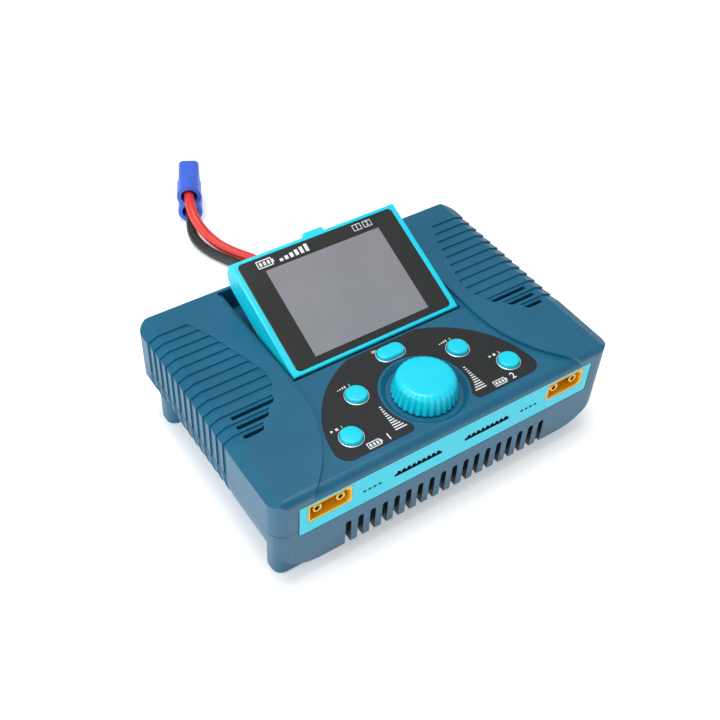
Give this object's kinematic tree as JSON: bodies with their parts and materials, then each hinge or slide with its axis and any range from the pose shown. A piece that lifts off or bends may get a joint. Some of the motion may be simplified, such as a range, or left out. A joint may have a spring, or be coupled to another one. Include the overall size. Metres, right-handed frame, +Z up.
{
  "type": "balance battery charger",
  "caption": "Two-channel bench charger: finned case on corner feet, tilting display, push-and-turn selector, round buttons, power and balance sockets, lead with plug.",
  "frame": {"origin": "on the table under the middle of the case", "axes": "+X right along the long side, +Y to the rear, +Z up"},
  "size_m": [0.173, 0.2616, 0.0768],
  "materials": {
    "case_plastic": "moulded, fine satin texture",
    "cyan_plastic": "moulded, semi-gloss",
    "overlay_film": "printed film, fine texture",
    "rim_white": "gloss",
    "rubber_pad": "matt",
    "screw_steel": "plain",
    "shaft_steel": "turned",
    "circuit_board": "solder resist",
    "black_plastic": "moulded",
    "glass_black": "printed black border, gloss",
    "screen": "switched off, satin",
    "socket_yellow": "moulded nylon",
    "gold_contact": "gold plated",
    "aluminium": "extruded",
    "inductor_core": "powder coated",
    "capacitor_sleeve": "shrink sleeve",
    "standoff_brass": "turned",
    "port_metal": "stamped",
    "lead_red": "silicone, satin",
    "lead_black": "silicone, satin",
    "plug_blue": "moulded nylon"
  },
  "bodies": {
    "case": {"top_shell": "case_plastic", "bottom_shell": "case_plastic", "corner_feet": "case_plastic", "foot_pads": "rubber_pad", "case_screws": "screw_steel", "front_fascia": "cyan_plastic", "control_overlay": "overlay_film", "button_rims": "rim_white", "encoder_body": "port_metal", "control_board": "circuit_board", "tact_switches": "black_plastic", "control_board_screws": "screw_steel", "hinge_pins": "shaft_steel", "output_socket_left": "socket_yellow", "output_socket_right": "socket_yellow", "output_pins_left": "gold_contact", "output_pins_right": "gold_contact", "balance_socket_left": "black_plastic", "balance_socket_right": "black_plastic", "sensor_socket_left": "black_plastic", "sensor_socket_right": "black_plastic", "balance_pins": "gold_contact", "sensor_pins": "gold_contact", "port_board": "circuit_board", "main_board": "circuit_board", "board_standoffs": "standoff_brass", "board_screws": "screw_steel", "heatsink": "aluminium", "power_inductors": "inductor_core", "filter_capacitors": "capacitor_sleeve", "fan_frame_left": "black_plastic", "fan_frame_right": "black_plastic", "fan_screws": "screw_steel", "usb_port": "port_metal", "cable_gland": "black_plastic", "red_lead": "lead_red", "black_lead": "lead_black", "plug_housing": "plug_blue", "plug_contacts": "gold_contact"},
    "display": {"display_bezel": "cyan_plastic", "display_back": "cyan_plastic", "display_glass": "glass_black", "lcd_panel": "screen", "display_board": "circuit_board"},
    "status_left": {"button_status_left": "cyan_plastic"},
    "status_right": {"button_status_right": "cyan_plastic"},
    "start_left": {"button_start_left": "cyan_plastic"},
    "start_right": {"button_start_right": "cyan_plastic"},
    "menu": {"button_menu": "cyan_plastic"},
    "selector_slide": {"encoder_slider": "black_plastic"},
    "selector": {"encoder_shaft": "shaft_steel", "selector_knob": "cyan_plastic"},
    "rotor_left": {"fan_rotor_left": "black_plastic"},
    "rotor_right": {"fan_rotor_right": "black_plastic"}
  },
  "joints": [
    {"name": "display_tilt", "type": "hinge", "parent": "case", "child": "display", "pos_m": [0, 0.001, 0.048], "axis": [1, 0, 0], "range_deg": [-22.5, 22.5]},
    {"name": "status_left_press", "type": "slide", "parent": "case", "child": "status_left", "axis": [0, 0, -1], "range_m": [0, 0.0006], "stiffness_N_per_m": 1500},
    {"name": "status_right_press", "type": "slide", "parent": "case", "child": "status_right", "axis": [0, 0, -1], "range_m": [0, 0.0006], "stiffness_N_per_m": 1500},
    {"name": "start_left_press", "type": "slide", "parent": "case", "child": "start_left", "axis": [0, 0, -1], "range_m": [0, 0.0006], "stiffness_N_per_m": 1500},
    {"name": "start_right_press", "type": "slide", "parent": "case", "child": "start_right", "axis": [0, 0, -1], "range_m": [0, 0.0006], "stiffness_N_per_m": 1500},
    {"name": "menu_press", "type": "slide", "parent": "case", "child": "menu", "axis": [0, 0, -1], "range_m": [0, 0.0006], "stiffness_N_per_m": 1500},
    {"name": "selector_press", "type": "slide", "parent": "case", "child": "selector_slide", "axis": [0, 0, -1], "range_m": [0, 0.0005], "stiffness_N_per_m": 3000},
    {"name": "selector_turn", "type": "hinge", "parent": "selector_slide", "child": "selector", "pos_m": [0, -0.0375, 0.055], "axis": [0, 0, 1], "continuous": true},
    {"name": "fan_left_spin", "type": "hinge", "parent": "case", "child": "rotor_left", "pos_m": [-0.0635, 0.054, 0.0345], "axis": [0, 1, 0], "continuous": true},
    {"name": "fan_right_spin", "type": "hinge", "parent": "case", "child": "rotor_right", "pos_m": [0.0635, 0.054, 0.0345], "axis": [0, 1, 0], "continuous": true}
  ]
}
